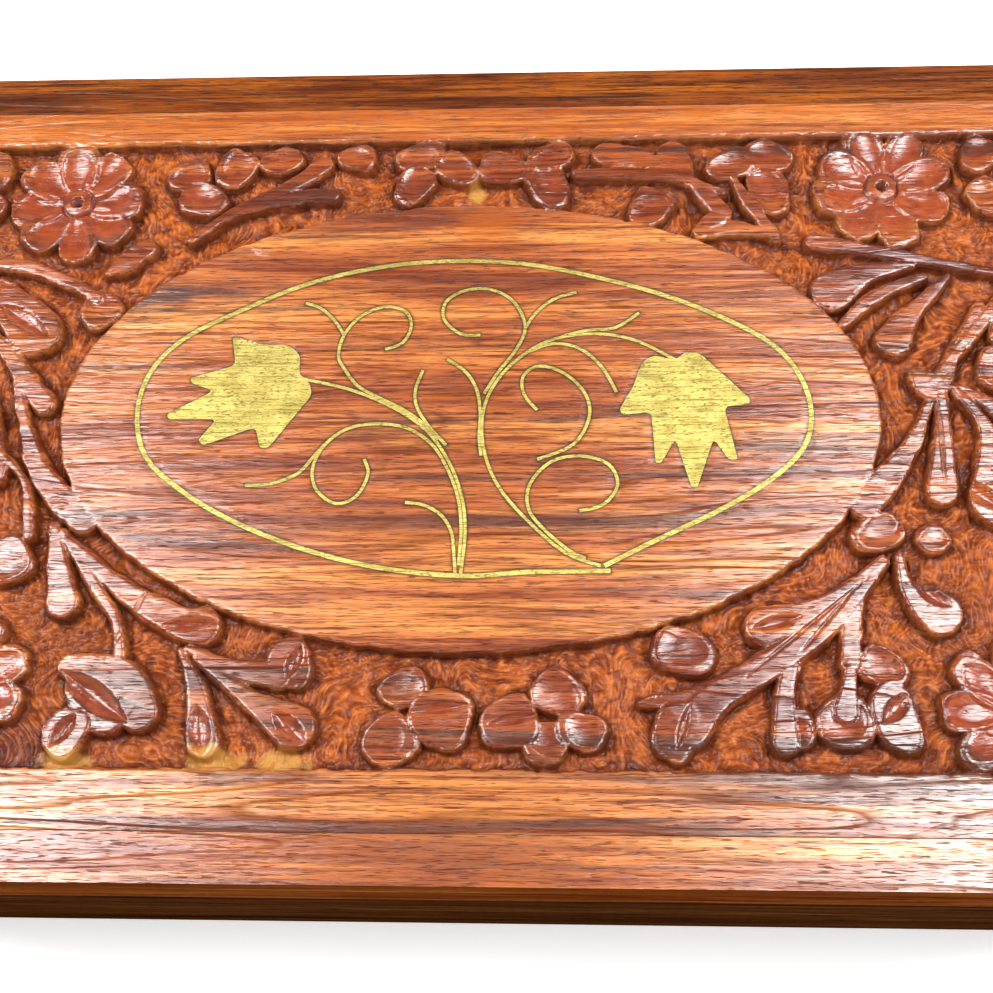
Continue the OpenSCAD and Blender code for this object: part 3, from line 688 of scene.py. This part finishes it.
def ground_texture(c):
    """Short gouge cuts whose direction wanders, with a rough floor."""
    angle = 0.9 * value_noise(c.x, c.y, (11, 11), SEED + 30) - 0.25
    across = c.x * np.cos(angle) - c.y * np.sin(angle)
    along = c.x * np.sin(angle) + c.y * np.cos(angle)
    drift = value_noise(c.x, c.y, (2.2, 3.0), SEED + 34)
    combs = np.abs(np.sin(math.pi * (across / 1.5 + 0.9 * drift)))
    strength = 0.30 + 0.22 * value_noise(c.x, c.y, (5, 5), SEED + 35)
    cuts = np.abs(value_noise(across, along, (1.2, 2.4), SEED + 31))
    lumps = value_noise(c.x, c.y, (3.2, 3.2), SEED + 32)
    grit = value_noise(c.x, c.y, (0.55, 0.55), SEED + 33)
    scrapes = value_noise(c.x, c.y, (1.4, 2.2), SEED + 36)
    return 0.9 * strength * combs + 0.5 * cuts + 0.35 * scrapes + 0.4 * lumps + 0.09 * grit - 0.6


def inlay_distance(c):
    """Distance in mm from each grid point to the nearest brass edge, read from the inlay's own nodes."""
    near = np.full(c.x.shape, 9.0)
    for name, node in NODES.items():
        if not name.endswith(("_wire", "_strip", "_brass_leaf")):
            continue
        points = {v.index: v.co / MM for v in node.data.vertices if v.co.z / MM > TOP_Z - 0.1}
        upward = edge_faces(node.data)
        for edge in node.data.edges:
            a, b = edge.vertices
            on_top = a in points and b in points
            if on_top and any(abs(z) < 0.5 for z in upward[edge.key]):
                rows = np.array([(*points[a][:2], 0.0), (*points[b][:2], 0.0)])
                part, distance = c.path_distance(rows)
                near[part] = np.minimum(near[part], distance)
    return near


def edge_faces(mesh):
    """For each edge of a mesh, the upward part of the normals of the faces beside it."""
    table = {}
    for polygon in mesh.polygons:
        for key in polygon.edge_keys:
            table.setdefault(key, []).append(polygon.normal.z)
    return table


def under_leaves(c, near):
    """1 where a brass leaf covers the grid point, away from the leaf's edge, found by looking down on it."""
    covered = np.zeros(c.x.shape)
    for name in ("left_brass_leaf", "right_brass_leaf"):
        low, high = (np.array(corner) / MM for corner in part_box(name))
        tree = BVHTree.FromPolygons([v.co for v in NODES[name].data.vertices],
                                    [p.vertices for p in NODES[name].data.polygons])
        for i in range(*np.searchsorted(c.xs, (low[0], high[0]))):
            for j in range(*np.searchsorted(c.ys, (low[1], high[1]))):
                above = Vector((c.xs[i], c.ys[j], TOP_Z + 5)) * MM
                covered[i, j] = tree.ray_cast(above, Vector((0, 0, -1)))[0] is not None
    return covered * (near > LEAF_RIM)


def carve():
    """Cuts the whole design: the grid, its height, and the distances that the masks need."""
    c = Carving()
    for step in (carve_flowers, carve_top_row, carve_left_side, carve_right_side,
                 carve_bottom_left, carve_bottom_middle, carve_bottom_right, carve_lines):
        step(c)
    into_field, off_island = field_edges(c)
    c.outside += 0.28 * value_noise(c.x, c.y, (3.4, 3.4), SEED + 43)
    fine_wobble = 0.13 * value_noise(c.x, c.y, (1.6, 1.6), SEED + 41)
    c.outside += fine_wobble + 0.07 * value_noise(c.x, c.y, (0.6, 0.6), SEED + 42)
    plain = np.minimum(into_field, off_island)
    outside = np.minimum(c.outside, plain)
    motif = (plain > 0) & (c.outside < 0)
    tops = np.where(c.top > NO_TOP + 1, c.top, -0.3)
    standing = np.where(plain < 0, -0.1 * smoothstep(-0.4, 0, plain), tops)
    standing = standing - np.where(motif, c.cut, 0)
    wall = smoothstep(0, WALL_RUN, outside)
    floor = -GROUND_DEPTH + ground_texture(c)
    height = standing * (1 - wall) + floor * wall
    height += 0.04 * value_noise(c.x, c.y, (4.5, 1.3), SEED + 40) * motif
    return c, height, outside, plain, wall


def resin_mask(c, height):
    """Ragged spots of bare resin on the carved ground."""
    bare = np.zeros(c.x.shape)
    ragged = 1 + 0.3 * value_noise(c.x, c.y, (1.2, 1.2), SEED + 51)
    for x, y, size in RESIN_SPOTS:
        reach = np.hypot((c.x - x) / size, (c.y - y) / 1.9) * ragged
        bare = np.maximum(bare, np.exp(-reach ** 6) * (height < -0.05))
    return bare


def spot(c, centre, size, power):
    """A soft spot of 0 to 1 with a size for each axis; a higher power gives it a harder edge."""
    return np.exp(-((c.x - centre[0]) / size[0]) ** power - ((c.y - centre[1]) / size[1]) ** power)


def carved_masks(c, height, outside, plain, wall, near):
    """How the stain took, with painted shade in the hollows and a painted highlight on the crests, for the
    material: 0 to 1 at each grid point.
    """
    motif = (plain > 0) & (outside < 0)
    flat = plain < 0
    foot = np.exp(-((outside - WALL_RUN * 0.7) / 0.35) ** 2) * (outside > 0)
    patches = value_noise(c.x, c.y, (9, 7), SEED + 50)
    streaky = 0.5 + 0.5 * value_noise(c.x, c.y, (7, 0.9), SEED + 52)
    smoke = spot(c, SMOKE_PLACE, (13, 3.0), 2) * flat
    warm = spot(c, WARM_PLACE, (5.5, 4), 4) * flat
    grime = 0.3 + 0.14 * value_noise(c.x, c.y, (2.5, 1.5), SEED + 53)
    # Painted shade in the hollows, as deep as the blurred height stands above each point; the other side
    # gives the painted highlight on the crests.
    fine = blurred(height, 0.5) - height
    broad = np.clip((blurred(height, 1.3) - height - 0.05) / 0.75, 0, 1)
    painted_cavity_shade = np.maximum(broad, 0.7 * np.clip(fine / 0.25, 0, 1) * wall)
    painted_cavity_shade = painted_cavity_shade * (0.8 + 0.4 * value_noise(c.x, c.y, (4, 4), SEED + 54))
    # Painted highlight on the ground's crests, where the height stands above its blurred surroundings.
    painted_ridge_highlight = np.clip(-fine / 0.25, 0, 1) * smoothstep(0.9, 1, wall)
    return {
        "painted_cavity_shade": 0.75 * painted_cavity_shade,
        "motif": motif.astype(float),
        "painted_ridge_highlight": 0.45 * painted_ridge_highlight,
        "cut": wall,
        "hollow": 0.75 * smoothstep(0.35, 0.9, -height) * motif,
        "shade": np.clip(0.4 * foot + 0.2 * smoothstep(0.2, 0.7, patches) * wall, 0, 0.8),
        "wine": 0.75 * spot(c, WINE_CORNER, (30, 11), 4) * wall * smoothstep(-0.5, 0.3, patches),
        "smoke": np.clip(1.6 * smoke * streaky, 0, 0.85),
        "warm": np.maximum(0.55 * warm, 0.75 * streaky * (c.y > FIELD_BACK) * flat),
        "bare": 0.9 * resin_mask(c, height),
        "seam": 0.9 * np.exp(-(near / grime) ** 2) * flat,
    }


def grid_faces(rows, columns):
    """The quads of a grid of points, and the points round its rim in order."""
    index = np.arange(rows * columns).reshape(rows, columns)
    quads = np.stack([index[:-1, :-1], index[1:, :-1], index[1:, 1:], index[:-1, 1:]], -1).reshape(-1, 4)
    rim = np.concatenate([index[:, 0], index[-1, 1:], index[-2::-1, -1], index[0, -2:0:-1]])
    return quads, rim


def lid_panel():
    """The panel as one closed board whose top is the carving."""
    c, height, outside, plain, wall = carve()
    near = inlay_distance(c)
    masks = carved_masks(c, height, outside, plain, wall, near)
    pocket = LEAF_POCKET * under_leaves(c, near)
    height = np.minimum(height, 0) - 0.03 * smoothstep(1.4, 0.2, near) - pocket
    drip = 1 - np.hypot(c.x - DRIP[0], c.y - DRIP[1]) / 3
    height += 0.22 * np.clip(drip, 0, 1) ** 0.6
    top = np.stack([c.x, c.y, TOP_Z + height], -1).reshape(-1, 3)
    quads, rim = grid_faces(*c.x.shape)
    low = top[rim].copy()
    low[:, 2] = PANEL_LOW[2]
    under = np.arange(len(rim)) + len(top)
    skirt = np.stack([rim, under, np.roll(under, -1), np.roll(rim, -1)], -1)
    faces = np.concatenate([quads, skirt]).tolist() + [under[::-1].tolist()]
    mesh = bpy.data.meshes.new("carved_panel")
    mesh.from_pydata((np.concatenate([top, low]) * MM).tolist(), [], faces)
    smooth = np.arange(len(mesh.polygons)) < len(quads)
    mesh.polygons.foreach_set("use_smooth", smooth)
    for name, values in masks.items():
        layer = mesh.attributes.new(name, "FLOAT", "POINT")
        below = np.zeros(len(rim))
        layer.data.foreach_set("value", np.concatenate([values.reshape(-1), below]).astype(np.float32))
    board = bpy.data.objects.new("carved_panel", mesh)
    bpy.context.scene.collection.objects.link(board)
    return board


# ---- making it ----------------------------------------------------------------------------

make_camera()
make_studio()
make_floor()

ROSEWOOD = wood_material("rosewood_panel", (0.76, 0.28, 0.065), (0.47, 0.125, 0.030), (0.15, 0.024, 0.007),
                         (0.09, 0.030, 0.020), carved=True)
panel = lid_panel()
panel.data.materials.append(ROSEWOOD)
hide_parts("lid_panel")
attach(panel, "lid")

RAIL_TONES = (0.78, 0.31, 0.07), (0.50, 0.14, 0.026), (0.20, 0.034, 0.008), (0.20, 0.055, 0.022)
BASE_TONES = (0.30, 0.12, 0.035), (0.17, 0.056, 0.014), (0.06, 0.015, 0.004), (0.05, 0.018, 0.010)
RAIL = wood_material("rosewood_rail", *RAIL_TONES, offset=(4, 2, 1))
SIDE_RAIL = wood_material("rosewood_side_rail", *RAIL_TONES, offset=(6, 3, 2), along_y=True)
BACK_RAIL = wood_material("rosewood_back_rail",
                          (0.37, 0.095, 0.006), (0.21, 0.043, 0.003), (0.05, 0.008, 0.001),
                          (0.04, 0.010, 0.003), offset=(7, 5, 3), coat=0.2)
DARK = wood_material("rosewood_base", *BASE_TONES, offset=(2, 8, 6))
SIDE_DARK = wood_material("rosewood_base_side", *BASE_TONES, offset=(3, 1, 4), along_y=True)
PLY = wood_material("bottom_board_wood", (0.45, 0.30, 0.16), (0.36, 0.22, 0.11), (0.25, 0.14, 0.07),
                    (0.2, 0.12, 0.07), offset=(1, 1, 9), roughness=0.6, coat=0.0)
INLAY = brass_material("inlay_brass", (0.64, 0.52, 0.155), (0.40, 0.31, 0.075), (110, 3600, 3600), 0.42)
HINGE = brass_material("hinge_brass", (0.75, 0.52, 0.20), (0.5, 0.33, 0.12), (300, 1800, 1800), 0.35)
VELVET = velvet_material()
FELT = felt_material()

CAD_MATERIALS = {
    "rosewood": RAIL, "rosewood_dark": DARK, "plywood": PLY, "inlay_brass": INLAY,
    "hinge_brass": HINGE, "velvet": VELVET, "felt": FELT,
}
OWN_MATERIALS = {
    "lid_back_rail": BACK_RAIL, "lid_left_rail": SIDE_RAIL, "lid_right_rail": SIDE_RAIL,
    "left_wall": SIDE_DARK, "right_wall": SIDE_DARK,
}


def dress_cad_nodes():
    """Gives every CAD node its own procedural material, and eases the edges of the boards."""
    slots = {row["node"]: row["material_slot"] for row in frame["record"]["subparts"]}
    for name, node in NODES.items():
        node.data.materials.clear()
        node.data.materials.append(OWN_MATERIALS.get(name, CAD_MATERIALS[slots[name]]))
        if name.endswith(("_rail", "_wall")):
            bevel = node.modifiers.new("eased_edges", "BEVEL")
            bevel.width = 0.0002
            bevel.segments = 2
            bevel.angle_limit = math.radians(40)
            bevel.limit_method = "ANGLE"


def cushion(name, thin, soft_side, body):
    """A velvet-covered board in place of a lining: soft rounded edges and a slightly uneven face."""
    low, high = (np.array(corner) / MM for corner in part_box(name))
    a, b = [axis for axis in range(3) if axis != thin]
    across = [np.linspace(low[k], high[k], max(int((high[k] - low[k]) / CUSHION_STEP), 8)) for k in (a, b)]
    u, v = np.meshgrid(*across, indexing="ij")
    edge = np.minimum(np.minimum(u - low[a], high[a] - u), np.minimum(v - low[b], high[b] - v))
    thick = high[thin] - low[thin]
    fall = 1 - np.sqrt(np.clip(1 - (1 - np.clip(edge / CUSHION_ROUND, 0, 1)) ** 2, 0, 1))
    face = thick * (1 - 0.75 * fall) - 0.06 * (1 + value_noise(u, v, (14, 14), SEED + 60))
    points = np.zeros(u.shape + (3,))
    points[..., a], points[..., b] = u, v
    points[..., thin] = low[thin] + face if soft_side > 0 else high[thin] - face
    back = points.copy()
    back[..., thin] = low[thin] if soft_side > 0 else high[thin]
    mesh = closed_sheet(points, back, name + "_cushion")
    pad = bpy.data.objects.new(name + "_cushion", mesh)
    bpy.context.scene.collection.objects.link(pad)
    mesh.materials.append(VELVET)
    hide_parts(name)
    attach(pad, body)


def closed_sheet(points, back, name):
    """Joins a grid of points and the flat grid behind it into one closed mesh with its faces outwards."""
    rows, columns = points.shape[:2]
    quads, rim = grid_faces(rows, columns)
    after = np.roll(rim, -1)
    shift = rows * columns
    sides = np.stack([rim, rim + shift, after + shift, after], -1)
    faces = np.concatenate([quads, sides, quads[:, ::-1] + shift])
    mesh = bpy.data.meshes.new(name)
    mesh.from_pydata(np.concatenate([points.reshape(-1, 3), back.reshape(-1, 3)]) * MM, [], faces.tolist())
    mesh.validate()
    whole = bmesh.new()
    whole.from_mesh(mesh)
    bmesh.ops.recalc_face_normals(whole, faces=whole.faces)
    whole.to_mesh(mesh)
    whole.free()
    mesh.polygons.foreach_set("use_smooth", np.ones(len(mesh.polygons), bool))
    return mesh


dress_cad_nodes()
X, Y, Z = 0, 1, 2
cushion("floor_lining", Z, 1, "base")
cushion("front_lining", Y, 1, "base")
cushion("back_lining", Y, -1, "base")
cushion("left_lining", X, 1, "base")
cushion("right_lining", X, -1, "base")
cushion("lid_lining", Z, -1, "lid")
